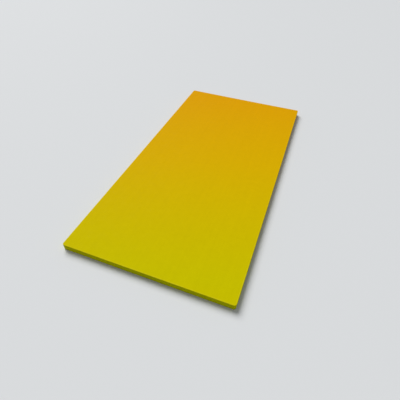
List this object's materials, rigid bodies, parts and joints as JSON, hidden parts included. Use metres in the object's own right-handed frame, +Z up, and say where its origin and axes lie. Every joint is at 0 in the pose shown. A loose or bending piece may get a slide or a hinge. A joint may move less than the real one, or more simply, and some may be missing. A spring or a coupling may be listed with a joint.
{
  "type": "floating pool mat",
  "caption": "Flat rectangular floating pool mat of laminated closed-cell foam with small round corners, for swimmers to lie, kneel or stand on.",
  "frame": {"origin": "middle of the underside, on the surface that the mat lies on", "axes": "+Y along the length, +X across the width, +Z up out of the top face"},
  "size_m": [1, 2, 0.04],
  "materials": {
    "skin_foam": "smooth satin skin of fine closed-cell polyethylene foam, dyed yellow in the mass",
    "core_foam": "matt knife-cut edge of closed-cell polyethylene foam, dyed yellow in the mass"
  },
  "bodies": {
    "root": {"bottom_skin": "skin_foam", "lower_core_ply": "core_foam", "middle_core_ply": "core_foam", "upper_core_ply": "core_foam", "top_skin": "skin_foam"}
  },
  "joints": []
}
